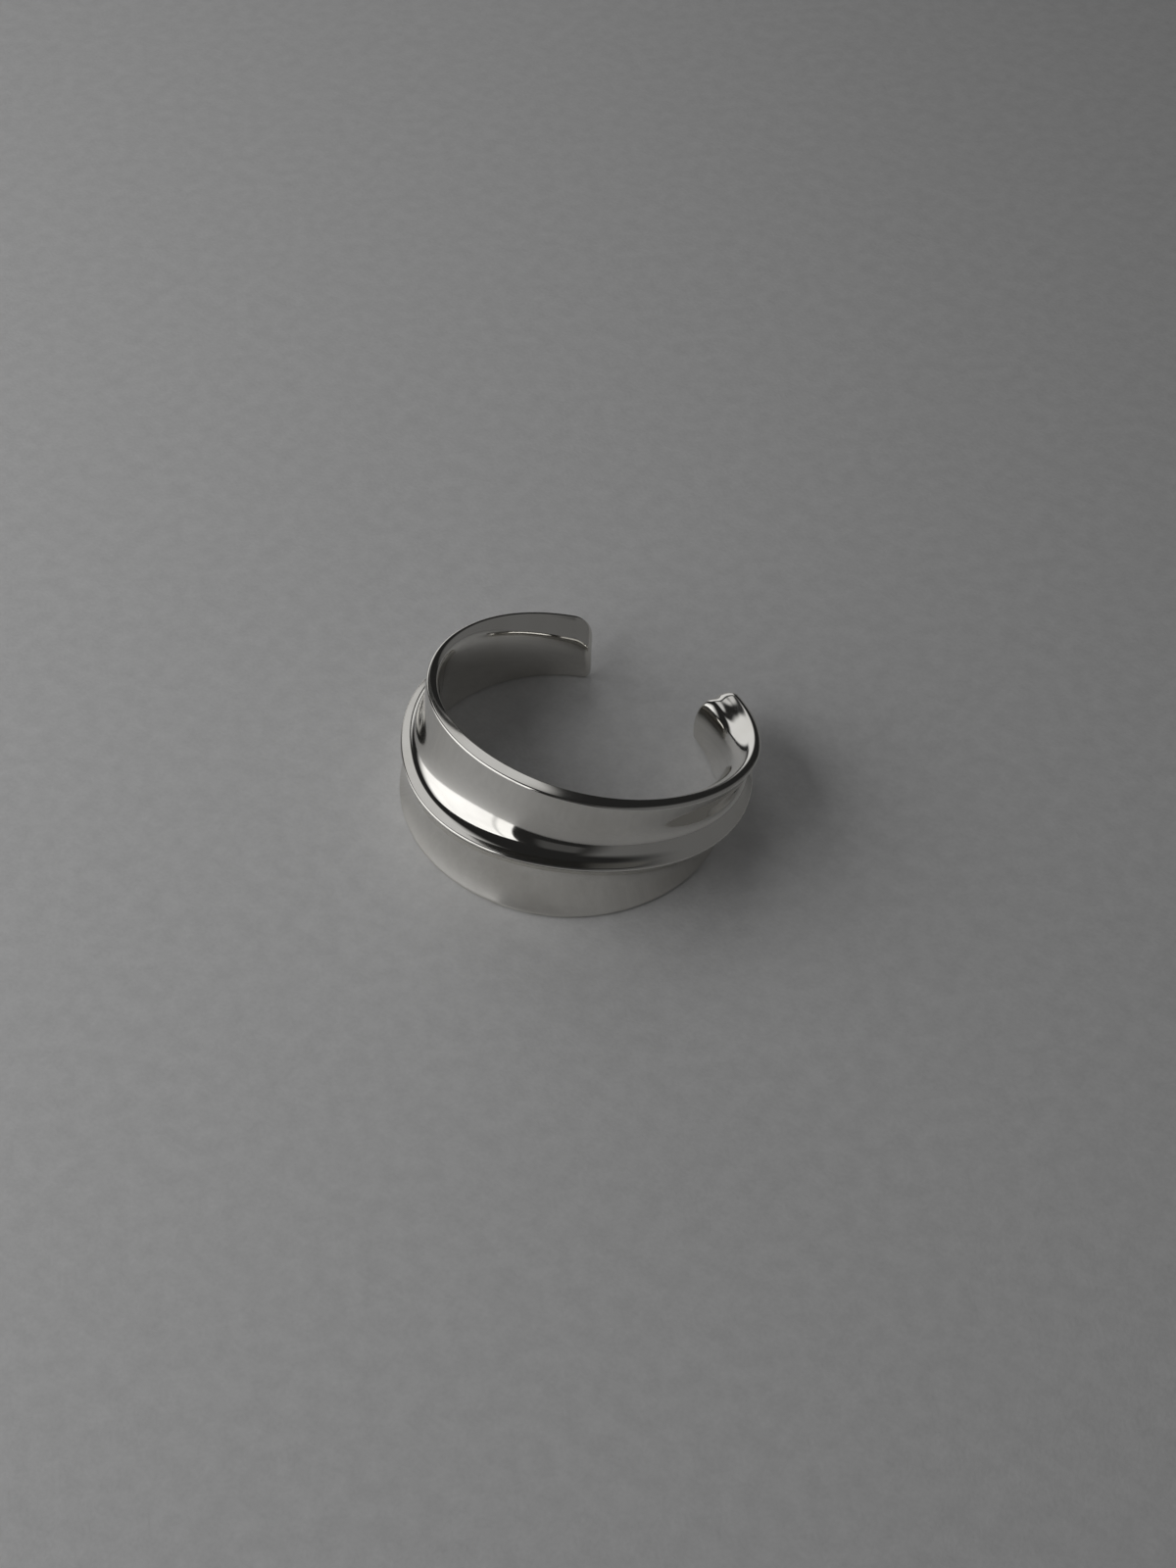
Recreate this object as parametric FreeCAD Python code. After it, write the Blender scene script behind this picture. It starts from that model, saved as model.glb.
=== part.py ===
"""An open cuff ring in polished silver, lying on its lower rim.

The ring is one casting: a band that is wide in front and narrow at its two free ends. A crisp
ridge runs along the middle of its outer face, with a hollow flute above and below it, and both
rims turn outwards a little. The band is worked out station by station round the finger hole. Each
station is one closed outline in an upright plane through the axis, made of short curves, and the
faces of the solid pass through the matching curves of all the stations.

Frame, in millimetres: +Z up, the widest part of the band towards -Y, the gap towards +Y, origin
on the surface that the ring lies on, under the middle of its bounding box. An angle round the
ring is counted from the front, and grows towards +X.
"""
import FreeCAD
import Part
import os
from math import cos, sin, tan, radians, sqrt

# Two rims guide the band. Their centre lines are near circles, seen from above:
# radius + forward cos + sideways sin - widening cos 2 + twist sin 2 of the angle round the ring.
# Their heights are level + rise cos - sag cos 2 + sway sin + skew sin 2 of the same angle.
RIM_COLUMNS = ("radius", "forward", "sideways", "widening", "twist",
               "level", "rise", "sag", "sway", "skew")
RIM_ROWS = {
    "top": (9.90, -0.83, 0.66, 0.36, 0.14, 6.33, 3.08, 0.35, -0.20, 0.25),
    "bottom": (9.84, 1.19, -0.37, 0.23, 0.17, 0.28, 0.00, 0.00, 0.00, 0.00),
}
RIMS = {name: dict(zip(RIM_COLUMNS, row)) for name, row in RIM_ROWS.items()}

RIM_ROUND = 0.28            # radius of the rounded bottom rim
LIP_ROUND = 0.14            # radius of the top rim's outer corner
LIP = 0.60                  # width of the lip that leads from that corner in to the finger
LIP_SIDE = 0.10             # more of that on the +X side, less on the other
LIP_DROP = 0.30             # how far the lip's inner edge falls at the sides, twice that behind
RIDGE_ROUND = 0.12          # radius of the ridge's outer corner
LAND = 0.30                 # width of the level land on top of the ridge
RIDGE_HEIGHT = 0.88         # how far the ridge stands off the line between the rims
RIDGE_FRONT = 0.63          # more of that in front, less at the ends
RIDGE_SIDE = 0.19           # more of that on the +X side, less on the other
RIDGE_WAVE = 0.20           # four slow swells of that round the ring, fading to the back
RIDGE_WAVE_TURN = -8.0      # the angle at which the first of them is highest
RIDGE_PLACE = 0.52          # where it stands between the bottom rim, 0, and the top rim, 1
RIDGE_CLIMB = 0.03          # how much higher that is on the +X side
WALL = 1.20                 # from the line between the rims in to the finger
WALL_FRONT = 0.05           # more of that in front, less at the ends
WALL_SIDE = 0.25            # more of that on the +X side, less on the other
WAIST_PLACE = 0.58          # where the wall is deepest, counted like the ridge's place

END_ANGLES = (-149.0, 155.0)    # the two free ends, in degrees round from the front
TOP_CORNER = 1.10               # radius of the ends' top corners, seen from outside
BOTTOM_CORNER = 0.60            # radius of their bottom corners
DOME = 0.50                     # how far from its tip an end starts to grow thin
TIP_SHARE = 0.35                # how thick its tip still is, as a share
STATION_STEP = 11.0             # the most degrees between two stations along the band

# Directions in which the curves of an outline leave the round parts, in degrees.
LIP_TURN = 12.0             # the lip faces along the band's height, turned this much outwards
LIP_OUTER_TURN = 4.0        # the upper flute cuts in behind the lip by this much
RIM_OUTER_TURN = 15.0       # the lower flute cuts in behind the bottom rim by this much
RIM_INNER_TURN = 40.0       # flare of the finger hole at the bottom rim
RIDGE_UPPER_TURN = 13.0     # from straight up to the land
RIDGE_LOWER_TURN = 38.0     # from straight down to the face below the ridge

# How far each free curve of an outline holds its first direction.
HOLD_RIM = 0.45             # a flute at its rim, as a share of the way to the ridge
HOLD_RIDGE_UPPER = 0.47     # the upper flute at the ridge, as a share of the band's thickness
HOLD_RIDGE_LOWER = 0.21     # the lower flute there
HOLD_WALL_BOTTOM = 0.50     # the finger's wall at the bottom rim, as a share of its depth
HOLD_WALL_TOP = 1.50        # the finger's wall at the lip, as a multiple of the lip's own hold
HOLD_WAIST = 0.25           # the finger's wall at its deepest, as a share of the band's height

# Where stations stand in the rounding of an end.
DOME_TURNS = (0, 25, 50, 70, 90)    # degrees round the dome, from its tip
CORNER_SHARES = (0.55, 0.75, 1.0)   # shares of the top corner's radius, further along the band


def rim_point(name, angle):
    """Distance from the axis and height of a rim's centre line."""
    rim = RIMS[name]
    distance = (rim["radius"] + rim["forward"] * cos(angle) + rim["sideways"] * sin(angle)
                - rim["widening"] * cos(2 * angle) + rim["twist"] * sin(2 * angle))
    height = (rim["level"] + rim["rise"] * cos(angle) - rim["sag"] * cos(2 * angle)
              + rim["sway"] * sin(angle) + rim["skew"] * sin(2 * angle))
    return distance, height


def on_circle(centre, radius, degrees):
    """A point of an outline's round part, with its direction of travel."""
    turn = radians(degrees)
    point = (centre[0] + radius * cos(turn), centre[1] + radius * sin(turn))
    return point, (-sin(turn), cos(turn))


def moved_back(stop, distance):
    """The same direction of travel, from a point that much earlier."""
    point, travel = stop
    return (point[0] - distance * travel[0], point[1] - distance * travel[1]), travel


def falling(stop, distance, drop):
    """Four control points of a curve that reaches a stop from that far, and from that much lower."""
    (along, out), travel = stop
    return [(along - distance * share * travel[0] - drop * fall, out - distance * share * travel[1])
            for share, fall in ((1, 1), (2 / 3, 1 / 3), (1 / 3, 0), (0, 0))]


def bridge(start, finish, leave, arrive):
    """Four control points of a curve that leaves and reaches two points in given directions."""
    (point_a, travel_a), (point_b, travel_b) = start, finish
    second = (point_a[0] + leave * travel_a[0], point_a[1] + leave * travel_a[1])
    third = (point_b[0] - arrive * travel_b[0], point_b[1] - arrive * travel_b[1])
    return [point_a, second, third, point_b]


def round_part(centre, radius, first, last):
    """Control points of two curves that together turn round a circle."""
    middle = (first + last) / 2
    handle = radius * 4 / 3 * tan(radians((middle - first) / 4))
    stops = [on_circle(centre, radius, turn) for turn in (first, middle, last)]
    return [bridge(stops[k], stops[k + 1], handle, handle) for k in range(2)]


def outline(length, angle, top_cut=0.0, bottom_cut=0.0, full=1.0):
    """Curves round the band's section, as (along, out) from the bottom rim's centre.

    Along runs from the bottom rim to the top rim, out runs away from the finger. The cuts bring
    the rims nearer to each other, and full makes the section thinner: they shape the ends.
    """
    low, high = bottom_cut, length - top_cut
    place = low + (RIDGE_PLACE + RIDGE_CLIMB * sin(angle)) * (high - low)
    swell = cos(4 * (angle - radians(RIDGE_WAVE_TURN))) * (1 + cos(angle)) / 2
    ridge = RIDGE_HEIGHT + RIDGE_FRONT * cos(angle) + RIDGE_SIDE * sin(angle) + RIDGE_WAVE * swell
    wall = WALL + WALL_FRONT * cos(angle) + WALL_SIDE * sin(angle)
    lip, drop = (LIP + LIP_SIDE * sin(angle)) * full, LIP_DROP * (1 - cos(angle)) * full
    thinner = (ridge + wall) / 2 * (1 - full)
    ridge, wall, thick = ridge - thinner, wall - thinner, (ridge + wall) * full
    rim, corner, crest, land = (size * full for size in (RIM_ROUND, LIP_ROUND, RIDGE_ROUND, LAND))

    top_rim, bottom_rim, ridge_line = (high, 0.0), (low, 0.0), (place, ridge - crest)
    top_out, bottom_out, bottom_in = 90 + LIP_OUTER_TURN, 90 - RIM_OUTER_TURN, 270 - RIM_INNER_TURN
    waist = (low + WAIST_PLACE * (high - low), -wall), (1.0, 0.0)
    lip_curve = falling(on_circle(top_rim, corner, LIP_TURN), lip, drop)
    lip_inner = lip_curve[0], tuple(b - a for a, b in zip(*lip_curve[:2]))
    land_outer = on_circle(ridge_line, crest, RIDGE_UPPER_TURN)
    land_inner = moved_back(land_outer, land)

    upper_flute = bridge(on_circle(top_rim, corner, top_out), land_inner,
                         HOLD_RIM * (high - place), HOLD_RIDGE_UPPER * thick)
    lower_flute = bridge(on_circle(ridge_line, crest, 180 - RIDGE_LOWER_TURN),
                         on_circle(bottom_rim, rim, bottom_out),
                         HOLD_RIDGE_LOWER * thick, HOLD_RIM * (place - low))
    lower_wall = bridge(on_circle(bottom_rim, rim, bottom_in), waist,
                        HOLD_WALL_BOTTOM * wall, HOLD_WAIST * (high - low))
    upper_wall = bridge(waist, lip_inner, HOLD_WAIST * (high - low), HOLD_WALL_TOP)
    return ([lip_curve] + round_part(top_rim, corner, LIP_TURN, top_out)
            + [upper_flute, bridge(land_inner, land_outer, land / 3, land / 3)]
            + round_part(ridge_line, crest, RIDGE_UPPER_TURN, 180 - RIDGE_LOWER_TURN)
            + [lower_flute]
            + round_part(bottom_rim, rim, bottom_out, bottom_in)
            + [lower_wall, upper_wall])


def station(angle, *cuts):
    """The outline at one angle, as points in space."""
    bottom, top = rim_point("bottom", angle), rim_point("top", angle)
    length = sqrt((top[0] - bottom[0]) ** 2 + (top[1] - bottom[1]) ** 2)
    lean, climb = (top[0] - bottom[0]) / length, (top[1] - bottom[1]) / length
    curves = []
    for curve in outline(length, angle, *cuts):
        points = []
        for along, out in curve:
            distance = bottom[0] + along * lean + out * climb
            height = bottom[1] + along * climb - out * lean
            points.append(FreeCAD.Vector(distance * sin(angle), -distance * cos(angle), height))
        curves.append(points)
    return curves


def quarter_round(radius, reach):
    """How far a quarter of a circle draws in, at a distance from its tip."""
    left = max(radius - reach, 0.0)
    return radius - sqrt(radius ** 2 - left ** 2)


def end_cuts(reach):
    """What an end cuts off the top and the bottom, and how thick it is, at a distance from its tip."""
    full = TIP_SHARE + (1 - TIP_SHARE) * (1 - quarter_round(DOME, reach) / DOME)
    return quarter_round(TOP_CORNER, reach), quarter_round(BOTTOM_CORNER, reach), full


def all_stations():
    """Every station along the band, from one end to the other."""
    first, last = (radians(degrees) for degrees in END_ANGLES)
    mean_radius = (RIMS["top"]["radius"] + RIMS["bottom"]["radius"]) / 2
    reaches = [DOME * (1 - cos(radians(turn))) for turn in DOME_TURNS]
    reaches += [TOP_CORNER * share for share in CORNER_SHARES]
    start, finish = (end + side * reaches[-1] / mean_radius for end, side in ((first, 1), (last, -1)))
    spans = int((finish - start) / radians(STATION_STEP)) + 1
    rows = [station(first + reach / mean_radius, *end_cuts(reach)) for reach in reaches]
    rows += [station(start + (finish - start) * k / spans) for k in range(1, spans)]
    rows += [station(last - reach / mean_radius, *end_cuts(reach)) for reach in reversed(reaches)]
    return rows


def steps_along(stations):
    """A parameter for each station: the distance that the top rim has run."""
    rim = [curves[0][-1] for curves in stations]
    runs = [0.0]
    for here, there in zip(rim, rim[1:]):
        runs.append(runs[-1] + here.distanceToPoint(there))
    return runs


def strip(stations, index, runs):
    """The face through one curve of every station."""
    lines = []
    for corner in range(4):
        line = Part.BSplineCurve()
        line.interpolate(Points=[curves[index][corner] for curves in stations], Parameters=runs)
        lines.append(line)
    poles = [list(row) for row in zip(*(line.getPoles() for line in lines))]
    surface = Part.BSplineSurface()
    surface.buildFromPolesMultsKnots(poles, lines[0].getMultiplicities(), [4, 4], lines[0].getKnots(),
                                     [0.0, 1.0], False, False, lines[0].Degree, 3)
    return surface.toShape()


def end_face(curves):
    """The flat face that closes the band at an end."""
    edges = []
    for points in curves:
        curve = Part.BezierCurve()
        curve.setPoles(points)
        edges.append(curve.toShape())
    return Part.Face(Part.Wire(edges))


def cuff_band():
    """The whole ring as one closed solid."""
    stations = all_stations()
    runs = steps_along(stations)
    faces = [strip(stations, index, runs) for index in range(len(stations[0]))]
    faces += [end_face(stations[0]), end_face(stations[-1])]
    shell = Part.makeShell(faces)
    shell.sewShape()
    band = Part.Solid(Part.Shell(shell.Faces))
    if band.Volume < 0:
        band.reverse()
    box = band.optimalBoundingBox(False)
    band.translate(FreeCAD.Vector(-box.Center.x, -box.Center.y, -box.ZMin))
    return band


os.makedirs("parts", exist_ok=True)
band = cuff_band()
box = band.optimalBoundingBox(False)
print("cuff_band valid %s, faces %d, volume %.1f mm3, size %.2f x %.2f x %.2f mm"
      % (band.isValid(), len(band.Faces), band.Volume, box.XLength, box.YLength, box.ZLength))
band.exportStep("parts/cuff_band.step")
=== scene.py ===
# %% [markdown]
# # An open cuff ring in polished silver
#
# This notebook dresses one finger ring for its portrait. The ring is a single casting: a band that
# is wide in front and narrow at its two free ends, with a crisp ridge between two hollow flutes.
# Its engineering model already exists, and is loaded here as a fixed frame. The frame gives the
# place and the size of everything, so that nothing has to be fitted by eye afterwards.
#
# A mirror has no looks of its own. It shows the room, bent by its shape. So the lesson spends its
# time on three things: a shape that is smooth enough to carry reflections, a silver surface with
# the traces of a polisher's wheel, and a room that is worth reflecting.

# %% Load the frame
import math
import bmesh
import bpy
from mathutils import Matrix, Vector


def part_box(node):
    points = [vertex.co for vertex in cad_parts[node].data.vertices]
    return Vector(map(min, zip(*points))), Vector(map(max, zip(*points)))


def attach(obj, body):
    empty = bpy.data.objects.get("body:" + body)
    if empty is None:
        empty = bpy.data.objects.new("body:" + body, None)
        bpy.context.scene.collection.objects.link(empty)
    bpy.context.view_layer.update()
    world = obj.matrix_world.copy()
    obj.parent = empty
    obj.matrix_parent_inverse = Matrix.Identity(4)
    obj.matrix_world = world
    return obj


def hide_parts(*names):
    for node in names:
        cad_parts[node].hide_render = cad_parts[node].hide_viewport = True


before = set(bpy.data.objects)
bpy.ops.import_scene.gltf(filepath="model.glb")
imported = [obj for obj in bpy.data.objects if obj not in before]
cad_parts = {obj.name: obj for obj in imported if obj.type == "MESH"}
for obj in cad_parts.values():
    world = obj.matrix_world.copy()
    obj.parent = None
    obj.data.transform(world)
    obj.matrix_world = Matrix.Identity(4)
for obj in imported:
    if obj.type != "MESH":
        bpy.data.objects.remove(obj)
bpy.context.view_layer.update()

BAND_LOW, BAND_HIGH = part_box("cuff_band")
MM = 0.001
print("the ring measures %.2f x %.2f x %.2f mm" % tuple((BAND_HIGH - BAND_LOW) / MM))

# %% [markdown]
# ## Arithmetic that turns into nodes
#
# A shape that follows a rule is best written as a rule. In Geometry Nodes, a sum is a Math node and
# a cosine is another one, and a formula soon becomes a web of fifty boxes that nobody can read.
# The small class below fixes that. It wraps the output of a node, and knows what to do when Python
# adds, multiplies or divides it: it adds one Math node to the tree and wraps that node's output.
# The formulas further down then read like formulas, and the tree is still made of ordinary nodes.
# Shader trees use the same Math node, so the room's light is written in the same way later.

# %% A field is a node's output that takes part in sums


class Field:
    """A value worked out by nodes. Arithmetic on it adds Math nodes to its tree."""

    def __init__(self, tree, socket):
        self.tree, self.socket = tree, socket

    def math(self, operation, *others):
        """Adds a Math node for this field and the others, and wraps what comes out of it."""
        node = self.tree.nodes.new("ShaderNodeMath")
        node.operation = operation
        for place, value in zip(node.inputs, (self, *others)):
            plug(value, place)
        return Field(self.tree, node.outputs[0])

    def __add__(self, other):
        return self.math("ADD", other)

    def __sub__(self, other):
        return self.math("SUBTRACT", other)

    def __mul__(self, other):
        return self.math("MULTIPLY", other)

    def __truediv__(self, other):
        return self.math("DIVIDE", other)

    def __rsub__(self, other):
        return self * -1.0 + other

    def __rtruediv__(self, other):
        return self.math("POWER", -1.0) * other

    __radd__ = __add__
    __rmul__ = __mul__


def plug(value, place):
    """Joins a field to a node's input, or types a plain value into it."""
    if isinstance(value, Field):
        value.tree.links.new(value.socket, place)
    else:
        place.default_value = value


def cosine(angle):
    return angle.math("COSINE")


def sine(angle):
    return angle.math("SINE")


def node_in(tree, kind, settings=None, **inputs):
    """Adds a node of a kind, sets its options, and plugs values into its named inputs."""
    node = tree.nodes.new(kind)
    for name, value in (settings or {}).items():
        setattr(node, name, value)
    for name, value in inputs.items():
        plug(value, node.inputs[name.replace("_", " ")])
    return node


def output_of(node, name=0):
    """A node's output, wrapped as a field."""
    return Field(node.id_data, node.outputs[name])


print("a field can be added, subtracted, multiplied and divided")

# %% [markdown]
# ## The two rims
#
# On the real ring the two rims are what the hand feels first: a rounded one below, a little over
# half a millimetre thick, and a flat lip of about that width above. Seen from above they are nearly
# circles, and they are shifted against each other, so that the hole leans as the ring lies.
# The lower rim is flat on the table. The upper one climbs in front and sinks towards the ends.
#
# Each rim could be drawn as a curve by hand. A formula with a few named sizes is kinder to change:
# a radius, a shift, a little widening and twist, and a height that rises and falls with the angle.

# %% Sizes of the rims, in metres
RIM_COLUMNS = ("radius", "forward", "sideways", "widening", "twist",
               "level", "rise", "sag", "sway", "skew")
RIM_ROWS = {
    "top": (9.90, -0.83, 0.66, 0.36, 0.14, 6.33, 3.08, 0.35, -0.20, 0.25),
    "bottom": (9.84, 1.19, -0.37, 0.23, 0.17, 0.28, 0.00, 0.00, 0.00, 0.00),
}
RIM_SIZES = {
    f"{rim} {column}": number * MM
    for rim, row in RIM_ROWS.items()
    for column, number in zip(RIM_COLUMNS, row)
}


def rim_line(sizes, rim, angle):
    """Distance from the ring's axis and height of a rim's centre line, at an angle from the front."""
    size = {column: sizes[f"{rim} {column}"] for column in RIM_COLUMNS}
    twice = angle * 2.0
    distance = (size["radius"] + size["forward"] * cosine(angle) + size["sideways"] * sine(angle)
                - size["widening"] * cosine(twice) + size["twist"] * sine(twice))
    height = (size["level"] + size["rise"] * cosine(angle) - size["sag"] * cosine(twice)
              + size["sway"] * sine(angle) + size["skew"] * sine(twice))
    return distance, height


print("sizes of the rims:", ", ".join(RIM_SIZES))

# %% [markdown]
# ## The outline of a section
#
# Cut the band across and you see one closed outline: a round rim below, a lip above that slopes in
# to the finger, a ridge with a narrow level land between two hollow flutes outside, and a soft curve
# inside, where it meets the finger. Twelve short Bezier curves draw it. Its points are given as
# (along, out): along runs from the bottom rim to the top rim, and out runs away from the finger.
#
# The outline changes all the way round the ring, but it always changes in the same few ways. That
# calls for an old trick, the one behind shape keys: draw the outline once with every size at zero,
# draw it again with one size at one, and keep the difference as that size's key. Any outline is
# then the plain one plus each size times its key.

# %% Curves that make up the outline
# Directions in which curves leave the round parts, in degrees.
LIP_TURN, LIP_OUTER_TURN = 12.0, 4.0
RIM_OUTER_TURN, RIM_INNER_TURN = 15.0, 40.0
RIDGE_UPPER_TURN, RIDGE_LOWER_TURN = 13.0, 38.0
# Where the inside wall is deepest, from the bottom rim, 0, to the top rim, 1.
WAIST_PLACE = 0.58
# How far each free curve holds its first direction. HOLD_RIM is a share of the way to the ridge,
# the two for the ridge are shares of the band's thickness, HOLD_WALL_BOTTOM is one of the wall's
# depth, HOLD_WALL_TOP a multiple of the lip's own hold, and HOLD_WAIST a share of the band's height.
HOLD_RIM, HOLD_RIDGE_UPPER, HOLD_RIDGE_LOWER = 0.45, 0.47, 0.21
HOLD_WALL_BOTTOM, HOLD_WALL_TOP, HOLD_WAIST = 0.50, 1.50, 0.25


def on_circle(centre, radius, degrees):
    """A point of a round part and its direction of travel."""
    turn = math.radians(degrees)
    across = Vector((math.cos(turn), math.sin(turn)))
    return centre + radius * across, Vector((-across.y, across.x))


def moved_back(stop, distance):
    """The same direction of travel, from a point that much earlier."""
    point, travel = stop
    return point - distance * travel, travel


def bridge(start, finish, leave, arrive):
    """The control points of a curve that leaves and reaches two points in given directions."""
    (point_a, travel_a), (point_b, travel_b) = start, finish
    return [point_a, point_a + leave * travel_a, point_b - arrive * travel_b, point_b]


def round_part(centre, radius, first, last):
    """Two curves that together turn round a circle."""
    middle = (first + last) / 2
    handle = radius * 4 / 3 * math.tan(math.radians((middle - first) / 4))
    stops = [on_circle(centre, radius, turn) for turn in (first, middle, last)]
    return [bridge(stops[k], stops[k + 1], handle, handle) for k in range(2)]


def falling(stop, distance, drop):
    """The control points of a curve that reaches a stop from that far, and from that much lower."""
    point, travel = stop
    return [point - distance * share * travel - Vector((drop * fall, 0.0))
            for share, fall in ((1, 1), (2 / 3, 1 / 3), (1 / 3, 0), (0, 0))]


def outline(low=0.0, high=0.0, place=0.0, ridge=0.0, wall=0.0, rim=0.0, corner=0.0, lip=0.0,
            drop=0.0, crest=0.0, land=0.0):
    """The twelve curves round the section, each with four control points."""
    top_rim, bottom_rim = Vector((high, 0.0)), Vector((low, 0.0))
    ridge_line = Vector((place, ridge - crest))
    top_out, bottom_out, bottom_in = 90 + LIP_OUTER_TURN, 90 - RIM_OUTER_TURN, 270 - RIM_INNER_TURN
    waist = Vector((low + WAIST_PLACE * (high - low), -wall)), Vector((1.0, 0.0))
    lip_curve = falling(on_circle(top_rim, corner, LIP_TURN), lip, drop)
    lip_inner = lip_curve[0], lip_curve[1] - lip_curve[0]
    land_outer = on_circle(ridge_line, crest, RIDGE_UPPER_TURN)
    land_inner = moved_back(land_outer, land)

    upper_flute = bridge(on_circle(top_rim, corner, top_out), land_inner,
                         HOLD_RIM * (high - place), HOLD_RIDGE_UPPER * (ridge + wall))
    lower_flute = bridge(on_circle(ridge_line, crest, 180 - RIDGE_LOWER_TURN),
                         on_circle(bottom_rim, rim, bottom_out),
                         HOLD_RIDGE_LOWER * (ridge + wall), HOLD_RIM * (place - low))
    lower_wall = bridge(on_circle(bottom_rim, rim, bottom_in), waist,
                        HOLD_WALL_BOTTOM * wall, HOLD_WAIST * (high - low))
    upper_wall = bridge(waist, lip_inner, HOLD_WAIST * (high - low), HOLD_WALL_TOP)
    return ([lip_curve] + round_part(top_rim, corner, LIP_TURN, top_out)
            + [upper_flute, bridge(land_inner, land_outer, land / 3, land / 3)]
            + round_part(ridge_line, crest, RIDGE_UPPER_TURN, 180 - RIDGE_LOWER_TURN)
            + [lower_flute]
            + round_part(bottom_rim, rim, bottom_out, bottom_in)
            + [lower_wall, upper_wall])


print("the outline is drawn with", len(outline()), "curves")

# %% [markdown]
# ## Keys of the outline
#
# The curves are now turned into points. The flutes get the most, because long reflections travel
# along them, and the tight rounds get enough that each step turns by only a few degrees. The points
# go into a small mesh of their own, with no faces, and every key is stored on it as an attribute.
# Geometry Nodes can read those attributes by name.

# %% Store the outline and its keys on a mesh
# For each of the twelve curves: its number of points, and whether it is an edge that wears first.
CURVE_STEPS = (16, 12, 12, 42, 8, 10, 10, 40, 16, 16, 24, 34)
EDGE_CURVES = (1, 1, 1, 0, 1, 1, 1, 0, 1, 1, 0, 0)
OUTLINE_SIZES = ("low", "high", "place", "ridge", "wall", "rim", "corner", "lip", "drop",
                 "crest", "land")


def points_of(curves):
    """Points along the curves, in turn. Each curve's last point is the next one's first."""
    points = []
    for (a, b, c, d), steps in zip(curves, CURVE_STEPS):
        for t in (step / steps for step in range(steps)):
            s = 1 - t
            points.append(s ** 3 * a + 3 * s * s * t * b + 3 * s * t * t * c + t ** 3 * d)
    return points


def store_vectors(mesh, name, vectors):
    """Writes one vector for each of the mesh's points."""
    layer = mesh.attributes.new(name, "FLOAT_VECTOR", "POINT")
    layer.data.foreach_set("vector", [number for v in vectors for number in (v.x, v.y, 0.0)])


PLAIN_OUTLINE = points_of(outline())
OUTLINE_POINTS = len(PLAIN_OUTLINE)
ON_EDGE = [float(flag) for flag, steps in zip(EDGE_CURVES, CURVE_STEPS) for step in range(steps)]
outline_mesh = bpy.data.meshes.new("outline keys")
outline_mesh.from_pydata([(v.x, v.y, 0.0) for v in PLAIN_OUTLINE], [], [])
store_vectors(outline_mesh, "key plain", PLAIN_OUTLINE)
for size in OUTLINE_SIZES:
    drawn = points_of(outline(**{size: 1.0}))
    store_vectors(outline_mesh, f"key {size}", [a - b for a, b in zip(drawn, PLAIN_OUTLINE)])
edge = outline_mesh.attributes.new("edge", "FLOAT", "POINT")
edge.data.foreach_set("value", ON_EDGE)
print("the outline has", OUTLINE_POINTS, "points and", len(OUTLINE_SIZES), "keys")

# %% [markdown]
# ## The rule for the whole band
#
# A jeweller would cast the ring in wax, then file and polish it. Here a grid of points does the
# job. One side of the grid counts stations along the band, the other counts points round the
# outline. For each point the tree works out the angle of its station, the sizes of the outline
# there, and from them a place in space. The ridge, for one, stands out most in front, and four slow
# swells run along it, which fade towards the back.
#
# The free ends are rounded in two ways. Seen from outside their corners are quarter circles, and
# seen from above they grow thin like a fingertip. Stations stand closest together there: their
# spacing follows a cosine, which steps evenly round a circle.

# %% Sizes of the ridge, the inside wall and the ends
BAND_SIZES = {
    "ridge height": 0.88 * MM,
    "ridge front": 0.63 * MM,
    "ridge side": 0.19 * MM,
    "ridge wave": 0.20 * MM,
    "ridge wave turn": math.radians(-8.0),
    "ridge place": 0.52,
    "ridge climb": 0.03,
    "ridge round": 0.12 * MM,
    "land": 0.30 * MM,
    "wall": 1.20 * MM,
    "wall front": 0.05 * MM,
    "wall side": 0.25 * MM,
    "rim round": 0.28 * MM,
    "lip round": 0.14 * MM,
    "lip": 0.60 * MM,
    "lip side": 0.10 * MM,
    "lip drop": 0.30 * MM,
    "first end": math.radians(-149.0),
    "last end": math.radians(155.0),
    "top corner": 1.10 * MM,
    "bottom corner": 0.60 * MM,
    "dome": 0.50 * MM,
    "tip share": 0.35,
}
STATIONS = 380


def quarter_round(radius, reach):
    """How far a quarter of a circle draws in, at a distance from its tip."""
    left = (radius - reach).math("MAXIMUM", 0.0)
    return radius - (radius * radius - left * left).math("MAXIMUM", 0.0).math("SQRT")


def outline_sizes(sizes, angle, reach, length):
    """The sizes of the outline at a station, under the names of its keys."""
    front, side = cosine(angle), sine(angle)
    tip = sizes["tip share"]
    full = tip + (1.0 - tip) * (1.0 - quarter_round(sizes["dome"], reach) / sizes["dome"])
    low = quarter_round(sizes["bottom corner"], reach)
    high = length - quarter_round(sizes["top corner"], reach)
    swell = cosine((angle - sizes["ridge wave turn"]) * 4.0) * (front + 1.0) * 0.5
    ridge = (sizes["ridge height"] + sizes["ridge front"] * front + sizes["ridge side"] * side
             + sizes["ridge wave"] * swell)
    wall = sizes["wall"] + sizes["wall front"] * front + sizes["wall side"] * side
    thinner = (ridge + wall) * 0.5 * (1.0 - full)
    return {
        "low": low,
        "high": high,
        "place": low + (sizes["ridge place"] + sizes["ridge climb"] * side) * (high - low),
        "ridge": ridge - thinner,
        "wall": wall - thinner,
        "rim": sizes["rim round"] * full,
        "corner": sizes["lip round"] * full,
        "lip": (sizes["lip"] + sizes["lip side"] * side) * full,
        "drop": sizes["lip drop"] * (1.0 - front) * full,
        "crest": sizes["ridge round"] * full,
        "land": sizes["land"] * full,
    }


print("the band has", STATIONS, "stations")

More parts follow.
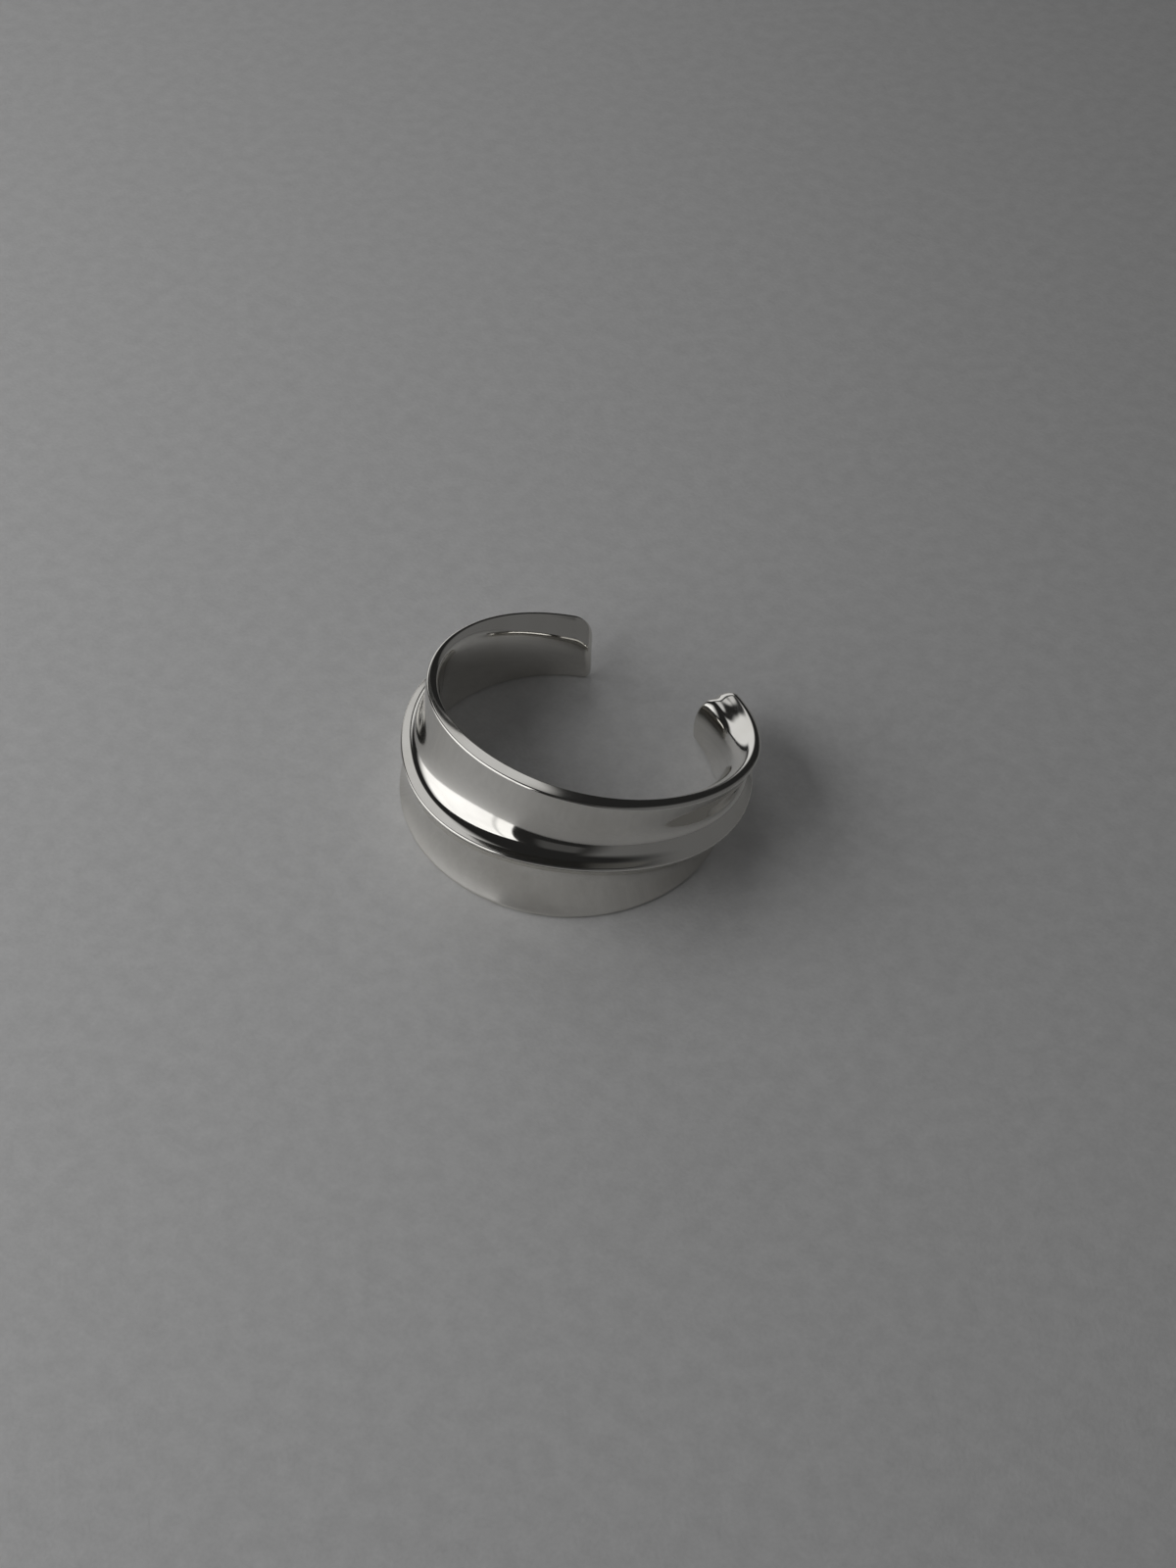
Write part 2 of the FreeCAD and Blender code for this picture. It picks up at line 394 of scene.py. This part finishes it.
# %% [markdown]
# ## Build the tree
#
# Three primitives are enough: a grid for the band, and two flat circles for its end faces. Each
# stores two numbers on its points, its station and its place in the outline. After that they can
# be joined, because the same rule places them all, and points that fall together are merged into
# one closed skin. The tree ends by realizing instances and setting the material, which is a good
# habit even where there are no instances: an exporter only sees real geometry.
#
# Which way the faces point is easy to forget, because a mirror renders the same from either side.
# As they are made, the grid and the first circle would face into the metal, so both are flipped.

# %% Points that know their place
MERGE_DISTANCE = 0.0002 * MM


def stored(tree, geometry, name, kind, value):
    """Writes an attribute on the points of a mesh."""
    settings = {"data_type": kind, "domain": "POINT"}
    return output_of(node_in(tree, "GeometryNodeStoreNamedAttribute", settings,
                             Geometry=geometry, Name=name, Value=value))


def numbered(tree, mesh, station, row):
    """Stores station and row numbers on the points of a primitive."""
    return stored(tree, stored(tree, mesh, "station", "FLOAT", station), "row", "FLOAT", row)


def flipped(tree, mesh):
    """The same faces, pointing the other way."""
    return output_of(node_in(tree, "GeometryNodeFlipFaces", Mesh=mesh))


def primitives(tree):
    """A grid for the skin and a circle for each end face, joined, with their points numbered."""
    index = output_of(node_in(tree, "GeometryNodeInputIndex"))
    rows = OUTLINE_POINTS + 1
    grid = node_in(tree, "GeometryNodeMeshGrid", Vertices_X=STATIONS, Vertices_Y=rows)
    station = (index / rows + 0.5 / rows).math("FLOOR")
    join = tree.nodes.new("GeometryNodeJoinGeometry")
    skin = numbered(tree, flipped(tree, output_of(grid)), station, index - station * rows)
    tree.links.new(skin.socket, join.inputs[0])
    for end in (0, STATIONS - 1):
        circle = output_of(node_in(tree, "GeometryNodeMeshCircle", {"fill_type": "NGON"},
                                   Vertices=OUTLINE_POINTS))
        face = numbered(tree, circle if end else flipped(tree, circle), float(end), index)
        tree.links.new(face.socket, join.inputs[0])
    return output_of(join)


print("the primitives have", (STATIONS + 2) * OUTLINE_POINTS + STATIONS, "points before merging")

# %% The rule and the tree


def named(tree, name, kind="FLOAT"):
    """Reads an attribute by its name."""
    settings = {"data_type": kind}
    return output_of(node_in(tree, "GeometryNodeInputNamedAttribute", settings, Name=name))


def sampled(tree, keys, name, kind):
    """Reads an attribute of the outline at each point's place in it."""
    row = named(tree, "row").math("MODULO", float(OUTLINE_POINTS)).math("ROUND")
    sample = node_in(tree, "GeometryNodeSampleIndex", {"data_type": kind, "domain": "POINT"},
                     Geometry=keys, Value=named(tree, name, kind), Index=row)
    return output_of(sample)


def outline_point(tree, keys, sizes):
    """The (along, out) place of each point: the plain outline plus each size times its key."""
    total = sampled(tree, keys, "key plain", "FLOAT_VECTOR")
    for key, size in sizes.items():
        scaled = node_in(tree, "ShaderNodeVectorMath", {"operation": "SCALE"},
                         Vector=sampled(tree, keys, f"key {key}", "FLOAT_VECTOR"), Scale=size)
        adder = tree.nodes.new("ShaderNodeVectorMath")
        plug(total, adder.inputs[0])
        plug(output_of(scaled), adder.inputs[1])
        total = output_of(adder)
    parted = node_in(tree, "ShaderNodeSeparateXYZ", Vector=total)
    return output_of(parted, "X"), output_of(parted, "Y")


def place_and_flow(tree, keys, sizes):
    """Where each point goes, and how far it lies along the band and across it."""
    mean_radius = (sizes["top radius"] + sizes["bottom radius"]) * 0.5
    middle = (sizes["first end"] + sizes["last end"]) * 0.5
    half = (sizes["last end"] - sizes["first end"]) * 0.5
    sweep = half * cosine(named(tree, "station") * (math.pi / (STATIONS - 1)))
    angle = middle - sweep
    reach = (half - sweep.math("ABSOLUTE")) * mean_radius

    top_distance, top_height = rim_line(sizes, "top", angle)
    low_distance, low_height = rim_line(sizes, "bottom", angle)
    rise, lean = top_height - low_height, top_distance - low_distance
    length = (rise * rise + lean * lean).math("SQRT")
    along, out = outline_point(tree, keys, outline_sizes(sizes, angle, reach, length))
    distance = low_distance + (along * lean + out * rise) / length
    height = low_height + (along * rise - out * lean) / length
    place = node_in(tree, "ShaderNodeCombineXYZ", X=distance * sine(angle),
                    Y=distance * cosine(angle) * -1.0, Z=height)
    flow = node_in(tree, "ShaderNodeCombineXYZ", X=angle * mean_radius, Y=along)
    return output_of(place), output_of(flow)


def band_tree(material):
    """Geometry Nodes that turn the outline's keys into the finished band."""
    tree = bpy.data.node_groups.new("cuff band", "GeometryNodeTree")
    tree.interface.new_socket("Outline keys", in_out="INPUT", socket_type="NodeSocketGeometry")
    for name in (*RIM_SIZES, *BAND_SIZES):
        tree.interface.new_socket(name, in_out="INPUT", socket_type="NodeSocketFloat")
    tree.interface.new_socket("Band", in_out="OUTPUT", socket_type="NodeSocketGeometry")
    entry = tree.nodes.new("NodeGroupInput")
    keys = output_of(entry, "Outline keys")
    sizes = {name: output_of(entry, name) for name in (*RIM_SIZES, *BAND_SIZES)}

    place, flow = place_and_flow(tree, keys, sizes)
    moved = node_in(tree, "GeometryNodeSetPosition", Geometry=primitives(tree), Position=place)
    skin = stored(tree, output_of(moved), "flow", "FLOAT_VECTOR", flow)
    skin = stored(tree, skin, "edge", "FLOAT", sampled(tree, keys, "edge", "FLOAT"))
    for name in ("station", "row"):
        skin = output_of(node_in(tree, "GeometryNodeRemoveAttribute", Geometry=skin, Name=name))
    merged = node_in(tree, "GeometryNodeMergeByDistance", Geometry=skin, Distance=MERGE_DISTANCE)
    smooth = node_in(tree, "GeometryNodeSetShadeSmooth", Geometry=output_of(merged))
    real = node_in(tree, "GeometryNodeRealizeInstances", Geometry=output_of(smooth))
    dressed = node_in(tree, "GeometryNodeSetMaterial", Geometry=output_of(real))
    dressed.inputs["Material"].default_value = material
    leave = tree.nodes.new("NodeGroupOutput")
    tree.links.new(dressed.outputs[0], leave.inputs[0])
    return tree


print("the tree takes", len(RIM_SIZES) + len(BAND_SIZES), "sizes")

# %% [markdown]
# ## A mottle that several finishes share
#
# Hardly any surface is even. A thumb leaves a film on silver, and paper has thin and thick places.
# Both look like a soft cloud with a certain grain and a certain depth. A shader node group holds
# that cloud once, with its sizes as inputs, and each material places the group with its own values.

# %% Node group: mottle


def shader_group(name, inputs, outputs):
    """A new shader node group with named float or vector inputs, and float outputs."""
    group = bpy.data.node_groups.new(name, "ShaderNodeTree")
    for label, value in inputs.items():
        kind = "NodeSocketVector" if value is None else "NodeSocketFloat"
        socket = group.interface.new_socket(label, in_out="INPUT", socket_type=kind)
        if value is not None:
            socket.default_value = value
    for label in outputs:
        group.interface.new_socket(label, in_out="OUTPUT", socket_type="NodeSocketFloat")
    entry, leave = group.nodes.new("NodeGroupInput"), group.nodes.new("NodeGroupOutput")
    return group, {label: output_of(entry, label) for label in inputs}, leave


def smooth_step(tree, value, low, high):
    """Nothing below low, one above high, and a soft slope between them."""
    ramp = node_in(tree, "ShaderNodeMapRange", {"interpolation_type": "SMOOTHSTEP"},
                   Value=value, From_Min=low, From_Max=high)
    return output_of(ramp)


def make_mottle():
    """A soft cloud between 0 and 1. Grain is its size in metres, and Cover how much of it is full."""
    inputs = {"Place": None, "Grain": 4.0 * MM, "Cover": 0.5, "Soft": 0.2}
    group, given, leave = shader_group("mottle", inputs, ["Mask"])
    noise = node_in(group, "ShaderNodeTexNoise", Vector=given["Place"], Scale=1.0 / given["Grain"],
                    Detail=4.0, Roughness=0.55)
    cover = 1.0 - given["Cover"]
    mask = smooth_step(group, output_of(noise, "Fac"), cover - given["Soft"], cover + given["Soft"])
    plug(mask, leave.inputs["Mask"])
    return group


def placed(tree, group, **inputs):
    """Puts a node group into a tree."""
    node = tree.nodes.new("ShaderNodeGroup")
    node.node_tree = group
    for name, value in inputs.items():
        plug(value, node.inputs[name])
    return node


MOTTLE = make_mottle()
print("mottle takes", [item.name for item in MOTTLE.interface.items_tree if item.in_out == "INPUT"])

# %% [markdown]
# ## Polished silver
#
# Sterling silver is cast, filed, sanded ever finer, and then held against a spinning cloth wheel.
# The wheel leaves a mirror, though never a perfect one. Very faint lines run the way the wheel
# turned, a few hairline scratches cross them, handling leaves a film that blurs the reflections in
# patches, and the crest and the rims, which touch everything first, are the most worn.
#
# A flat metal colour would miss all of that. The material below starts from a Principled BSDF with
# full Metallic, and lets masks change its colour, its roughness and its bump by small amounts. The
# lines have to follow the band, so they read an attribute that the tree stores: how far a point
# lies along the band, and how far across it.

# %% Silver
SILVER_CLEAN = (0.76, 0.745, 0.71, 1.0)
SILVER_FILMED = (0.68, 0.66, 0.615, 1.0)
FILM_GRAIN, SMEAR_GRAIN = 3.5 * MM, 0.9 * MM
FILM_SHARE = 0.6

# Grain of the wheel's lines and of the hairline scratches, along the band and across it.
WHEEL_LINES = (9.0 * MM, 0.05 * MM)
HAIRLINES = (3.0 * MM, 0.02 * MM)
HAIRLINE_START, HAIRLINE_FULL = 0.66, 0.74

# How rough the mirror is, how much each trace adds to that, and how deep the traces are.
POLISH_ROUGH = 0.045
FILM_ROUGH, SMEAR_ROUGH, HAIRLINE_ROUGH, EDGE_ROUGH = 0.035, 0.02, 0.05, 0.03
TRACE_STRENGTH, TRACE_DEPTH = 0.12, 0.0006 * MM


def stretched(tree, place, along, across):
    """Noise drawn out along the band: its grain is along metres one way and across metres the other."""
    scaled = node_in(tree, "ShaderNodeVectorMath", {"operation": "MULTIPLY"})
    plug(place, scaled.inputs[0])
    scaled.inputs[1].default_value = (1 / along, 1 / across, 1 / across)
    noise = node_in(tree, "ShaderNodeTexNoise", Vector=output_of(scaled), Scale=1.0, Detail=3.0,
                    Roughness=0.6)
    return output_of(noise, "Fac")


def blend_colours(tree, share, first, second):
    """One colour where share is nothing, the other where it is one."""
    mix = node_in(tree, "ShaderNodeMix", {"data_type": "RGBA"})
    plug(share, mix.inputs["Factor"])
    for socket in mix.inputs:
        if socket.type == "RGBA" and socket.name in "AB":
            socket.default_value = first if socket.name == "A" else second
    return next(Field(tree, socket) for socket in mix.outputs if socket.type == "RGBA")


def polished_silver():
    """A mirror with the traces of the wheel, of handling and of wear."""
    material = bpy.data.materials.new("polished silver")
    material.use_nodes = True
    tree = material.node_tree
    shader = tree.nodes["Principled BSDF"]
    place = output_of(tree.nodes.new("ShaderNodeTexCoord"), "Object")
    flow = output_of(node_in(tree, "ShaderNodeAttribute", {"attribute_name": "flow"}), "Vector")
    edge = output_of(node_in(tree, "ShaderNodeAttribute", {"attribute_name": "edge"}), "Fac")
    film = output_of(placed(tree, MOTTLE, Place=place, Grain=FILM_GRAIN, Cover=0.42, Soft=0.22))
    smear = output_of(placed(tree, MOTTLE, Place=place, Grain=SMEAR_GRAIN, Cover=0.45, Soft=0.25))
    lines = stretched(tree, flow, *WHEEL_LINES)
    scratch = smooth_step(tree, stretched(tree, flow, *HAIRLINES), HAIRLINE_START, HAIRLINE_FULL)
    colour = blend_colours(tree, film * FILM_SHARE, SILVER_CLEAN, SILVER_FILMED)
    plug(colour, shader.inputs["Base Color"])
    shader.inputs["Metallic"].default_value = 1.0
    rough = (POLISH_ROUGH + FILM_ROUGH * film + SMEAR_ROUGH * smear + HAIRLINE_ROUGH * scratch
             + EDGE_ROUGH * edge)
    plug(rough, shader.inputs["Roughness"])
    height = lines * 0.5 + scratch * -0.5
    bump = node_in(tree, "ShaderNodeBump", Strength=TRACE_STRENGTH, Distance=TRACE_DEPTH, Height=height)
    plug(output_of(bump), shader.inputs["Normal"])
    return material


SILVER = polished_silver()
print("silver has", len(SILVER.node_tree.nodes), "nodes")

# %% [markdown]
# ## Make the band
#
# The modifier gets its tree and its sizes before anything is evaluated. Each size is set by its
# socket's identifier, because a modifier doesn't know its inputs by name. The evaluated result is
# copied to a plain mesh, and the helper object with its modifier is thrown away. Last, the mesh is
# slid to where the frame says that the ring lies. Only its box is compared: the sizes are the same.
#
# The volume is measured as well, because its sign tells which way the faces point: a closed mesh
# that is inside out has less than nothing in it.

# %% Evaluate the tree


def made_by_tree(name, mesh, tree, values):
    """The mesh that a tree makes from another mesh, as an object of its own."""
    helper = bpy.data.objects.new(f"{name} helper", mesh)
    bpy.context.scene.collection.objects.link(helper)
    modifier = helper.modifiers.new("shape", "NODES")
    modifier.node_group = tree
    for item in tree.interface.items_tree:
        if item.item_type == "SOCKET" and item.in_out == "INPUT" and item.name in values:
            modifier[item.identifier] = values[item.name]
    bpy.context.view_layer.update()
    evaluated = helper.evaluated_get(bpy.context.evaluated_depsgraph_get())
    result = bpy.data.meshes.new_from_object(evaluated)
    bpy.data.objects.remove(helper)
    piece = bpy.data.objects.new(name, result)
    bpy.context.scene.collection.objects.link(piece)
    return piece


def box_of(piece):
    """Lowest and highest corner of a mesh."""
    columns = list(zip(*(vertex.co for vertex in piece.data.vertices)))
    return Vector([min(c) for c in columns]), Vector([max(c) for c in columns])


def volume_of(piece):
    """The volume inside a closed mesh. It is below zero where the faces point inwards."""
    shape = bmesh.new()
    shape.from_mesh(piece.data)
    volume = shape.calc_volume(signed=True)
    shape.free()
    return volume


all_sizes = {**RIM_SIZES, **BAND_SIZES}
band = made_by_tree("polished_band", outline_mesh, band_tree(SILVER), all_sizes)
low, high = box_of(band)
shift = (BAND_LOW + BAND_HIGH - low - high) / 2
shift.z = BAND_LOW.z - low.z
band.data.transform(Matrix.Translation(shift))
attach(band, "root")
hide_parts("cuff_band")
print("the band has", len(band.data.polygons), "faces")
print("it measures %.2f x %.2f x %.2f mm" % tuple((high - low) / MM))
print("it holds %.1f cubic millimetres of silver" % (volume_of(band) / MM ** 3))

# %% [markdown]
# ## The floor
#
# The ring lies on plain paper, which is pale but stands in soft, dim light. Two things about paper
# matter here. It isn't perfectly even, so it gets a faint mottle and a fine tooth. And it shines a
# little at a glancing angle, which is what makes its far side glow towards the window. The ring
# shows that far side in its lower flute.

# %% Paper floor
FLOOR_RADIUS, FLOOR_CORNERS = 1.5, 96
PAPER_LIGHT = (0.88, 0.88, 0.88, 1.0)
PAPER_DARK = (0.68, 0.68, 0.68, 1.0)
PAPER_GRAIN, TOOTH_GRAIN = 1.2 * MM, 0.25 * MM
PAPER_ROUGH = 0.42
TOOTH_STRENGTH, TOOTH_DEPTH = 0.45, 0.03 * MM


def paper():
    """Pale paper with a faint mottle and a fine tooth."""
    material = bpy.data.materials.new("pale paper")
    material.use_nodes = True
    tree = material.node_tree
    shader = tree.nodes["Principled BSDF"]
    place = output_of(tree.nodes.new("ShaderNodeTexCoord"), "Object")
    cloud = output_of(placed(tree, MOTTLE, Place=place, Grain=PAPER_GRAIN, Cover=0.5, Soft=0.35))
    tooth = output_of(node_in(tree, "ShaderNodeTexNoise", Vector=place, Scale=1 / TOOTH_GRAIN, Detail=2.0))
    colour = blend_colours(tree, cloud * 0.5 + tooth * 0.5, PAPER_DARK, PAPER_LIGHT)
    plug(colour, shader.inputs["Base Color"])
    shader.inputs["Roughness"].default_value = PAPER_ROUGH
    bump = node_in(tree, "ShaderNodeBump", Strength=TOOTH_STRENGTH, Distance=TOOTH_DEPTH, Height=tooth)
    plug(output_of(bump), shader.inputs["Normal"])
    return material


def disc(name, radius, corners, material):
    """A flat round sheet at the height of the surface that the ring lies on."""
    mesh = bpy.data.meshes.new(name)
    turns = [2 * math.pi * k / corners for k in range(corners)]
    points = [(radius * math.cos(turn), radius * math.sin(turn), 0.0) for turn in turns]
    mesh.from_pydata(points, [], [range(corners)])
    mesh.materials.append(material)
    piece = bpy.data.objects.new(name, mesh)
    bpy.context.scene.collection.objects.link(piece)
    return piece


floor = disc("floor", FLOOR_RADIUS, FLOOR_CORNERS, paper())
print("the floor is %.1f m across" % (2 * FLOOR_RADIUS))

# %% [markdown]
# ## The room
#
# A photographer of silver spends most of the time moving sheets of white and black card about,
# because the metal shows nothing else. One large soft window stands close by, to the left. It is a
# real sheet of light, because a window also lights the floor in front of it, and the ring shows
# that glow in its flutes. The camera itself doesn't see the sheet, so it never spoils a picture.

# %% The large window
WINDOW_BEARING = math.radians(-38.0)
WINDOW_DISTANCE = 0.14
WINDOW_SIDES = (-0.20, 0.09)
WINDOW_TOP = 0.20
WINDOW_LIGHT = 1.45

# Stretches of the sheet, whose width and height both count as one: where each starts and ends,
# and how softly it fades at its start and at its end.
GLOW_ACROSS = (0.0, 1.02, 0.30, 0.03)
GLOW_UP = (-0.1, 1.0, 0.15, 0.02)
BAR_ACROSS = (0.84, 0.90, 0.03, 0.03)
BAR_SHADE = 0.35

# The bright top edge, and the clouds.
TOP_START, TOP_FULL, TOP_GLOW = 0.93, 0.97, 0.35
CLOUD_GRAIN = 0.35
CLEAR_LIGHT, CLOUD_LIGHT = 0.82, 0.18


def soft_edges(tree, value, low, high, low_fade, high_fade):
    """One between low and high, fading to nothing at both."""
    rising = smooth_step(tree, value, low, low + low_fade)
    return rising * (1.0 - smooth_step(tree, value, high - high_fade, high))


def window_light():
    """Cloudy daylight, brightest along its top edge, with the shade of one window bar."""
    material = bpy.data.materials.new("window light")
    material.use_nodes = True
    tree = material.node_tree
    tree.nodes.clear()
    parts = node_in(tree, "ShaderNodeSeparateXYZ",
                    Vector=output_of(tree.nodes.new("ShaderNodeTexCoord"), "UV"))
    across, up = output_of(parts, "X"), output_of(parts, "Y")
    glow = soft_edges(tree, across, *GLOW_ACROSS) * soft_edges(tree, up, *GLOW_UP)
    place = output_of(node_in(tree, "ShaderNodeCombineXYZ", X=across, Y=up * 0.5))
    cloud = output_of(placed(tree, MOTTLE, Place=place, Grain=CLOUD_GRAIN, Cover=0.5, Soft=0.3))
    bar = soft_edges(tree, across, *BAR_ACROSS) * BAR_SHADE
    top_line = smooth_step(tree, up, TOP_START, TOP_FULL) * TOP_GLOW
    shade = (CLEAR_LIGHT + CLOUD_LIGHT * cloud) * (1.0 - bar) + top_line
    emission = node_in(tree, "ShaderNodeEmission", Strength=glow * shade * WINDOW_LIGHT)
    out = tree.nodes.new("ShaderNodeOutputMaterial")
    plug(output_of(emission), out.inputs["Surface"])
    return material


def card(name, bearing, distance, sides, top, material):
    """An upright rectangle that stands on the floor and faces the ring."""
    facing = Vector((math.sin(bearing), -math.cos(bearing), 0.0))
    side = Vector((math.cos(bearing), math.sin(bearing), 0.0))
    corners = [(sides[0], 0.0), (sides[1], 0.0), (sides[1], top), (sides[0], top)]
    points = [facing * distance + side * x + Vector((0.0, 0.0, z)) for x, z in corners]
    mesh = bpy.data.meshes.new(name)
    mesh.from_pydata(points, [], [(0, 1, 2, 3)])
    layer = mesh.uv_layers.new(name="sheet")
    for corner, place in zip(layer.data, ((0, 0), (1, 0), (1, 1), (0, 1))):
        corner.uv = place
    mesh.materials.append(material)
    piece = bpy.data.objects.new(name, mesh)
    bpy.context.scene.collection.objects.link(piece)
    piece.visible_camera = False
    return piece


card("large_window", WINDOW_BEARING, WINDOW_DISTANCE, WINDOW_SIDES, WINDOW_TOP, window_light())
print("the window is %.2f m wide and %.2f m high" % (WINDOW_SIDES[1] - WINDOW_SIDES[0], WINDOW_TOP))

# %% [markdown]
# The rest of the room is painted on the sky: a world shader reads nothing but a direction, which is
# written as a bearing round the ring and a height above the horizon. A second, smaller window
# stands behind, in two panes. On the right are a pale wall and a dim patch, for things on a shelf,
# and the ceiling is dark. A camera that looks past the floor sees the plain backdrop instead.

# %% Node group: a patch of light on the sky


def make_patch():
    """A soft rectangle on the sky. Bearing and height are in degrees."""
    inputs = {"Bearing": 0.0, "Height": 0.0, "Left": -90.0, "Right": 0.0, "Low": 0.0, "High": 60.0,
              "Side Fade": 5.0, "Low Fade": 5.0, "High Fade": 5.0}
    group, given, leave = shader_group("patch of light", inputs, ["Mask"])
    across = soft_edges(group, given["Bearing"], given["Left"], given["Right"],
                        given["Side Fade"], given["Side Fade"])
    up = soft_edges(group, given["Height"], given["Low"], given["High"],
                    given["Low Fade"], given["High Fade"])
    plug(across * up, leave.inputs["Mask"])
    return group


PATCH = make_patch()
PATCH_COLUMNS = ("Left", "Right", "Low", "High", "Side Fade", "Low Fade", "High Fade", "light")
PATCH_ROWS = {
    "back window": (-152, -104, 2, 24, 8, 3, 4, 0.95),
    "back window, upper pane": (-156, -112, 28, 62, 8, 3, 14, 0.75),
    "pale wall": (34, 190, -10, 76, 22, 5, 26, 0.13),
    "things on a shelf": (6, 40, 12, 60, 8, 6, 14, 0.06),
}
ROOM_LIGHT = 0.022
BACKDROP = (0.17, 0.17, 0.17, 1.0)
print("the sky holds", ", ".join(PATCH_ROWS))

# %% Paint the sky


def paint_sky():
    """The room as the metal sees it, and a plain backdrop for the camera."""
    world = bpy.data.worlds.new("room")
    bpy.context.scene.world = world
    world.use_nodes = True
    tree = world.node_tree
    tree.nodes.clear()
    direction = node_in(tree, "ShaderNodeSeparateXYZ",
                        Vector=output_of(tree.nodes.new("ShaderNodeTexCoord"), "Generated"))
    x, y, z = (output_of(direction, name) for name in "XYZ")
    bearing = x.math("ARCTAN2", y * -1.0) * (180 / math.pi)
    height = z.math("ARCSINE") * (180 / math.pi)
    light = 0.0
    for row in PATCH_ROWS.values():
        values = dict(zip(PATCH_COLUMNS, row))
        strength = values.pop("light")
        light = output_of(placed(tree, PATCH, Bearing=bearing, Height=height, **values)) * strength + light
    room = node_in(tree, "ShaderNodeBackground", {"name": "room"}, Strength=light + ROOM_LIGHT)
    backdrop = node_in(tree, "ShaderNodeBackground", {"name": "backdrop"}, Color=BACKDROP)
    seen = output_of(tree.nodes.new("ShaderNodeLightPath"), "Is Camera Ray")
    mix = node_in(tree, "ShaderNodeMixShader")
    for value, place in zip((seen, output_of(room), output_of(backdrop)), mix.inputs):
        plug(value, place)
    out = tree.nodes.new("ShaderNodeOutputWorld")
    plug(output_of(mix), out.inputs["Surface"])


paint_sky()
bpy.context.scene.view_settings.view_transform = "Standard"
print("the sky is painted")

# %% [markdown]
# ## The camera
#
# The picture was taken from the right and from above, at about fifteen centimetres. The angles were
# found by laying the model's outline over the photograph until the two rims, the ridge and the
# ends all fell into place. The frame stands upright, so the lens angle is that of its long side.

# %% Camera
CAMERA_BEARING, CAMERA_HEIGHT = math.radians(36.1), math.radians(48.0)
CAMERA_DISTANCE = 0.146
CAMERA_ANGLE = math.radians(36.76)
CAMERA_AIM = Vector((0.266, 1.108, 0.001)) * MM
CAMERA_NEAREST, CAMERA_FARTHEST = 0.005, 10.0


def add_camera():
    """A camera that looks at the ring from the photograph's place."""
    back = Vector((math.sin(CAMERA_BEARING) * math.cos(CAMERA_HEIGHT),
                   -math.cos(CAMERA_BEARING) * math.cos(CAMERA_HEIGHT), math.sin(CAMERA_HEIGHT)))
    camera = bpy.data.objects.new("camera", bpy.data.cameras.new("camera"))
    bpy.context.scene.collection.objects.link(camera)
    camera.location = CAMERA_AIM + back * CAMERA_DISTANCE
    camera.rotation_euler = back.to_track_quat("Z", "Y").to_euler()
    camera.data.lens = camera.data.sensor_width / 2 / math.tan(CAMERA_ANGLE / 2)
    camera.data.clip_start, camera.data.clip_end = CAMERA_NEAREST, CAMERA_FARTHEST
    bpy.context.scene.camera = camera


add_camera()
print("the camera stands %.0f mm away" % (CAMERA_DISTANCE / MM))
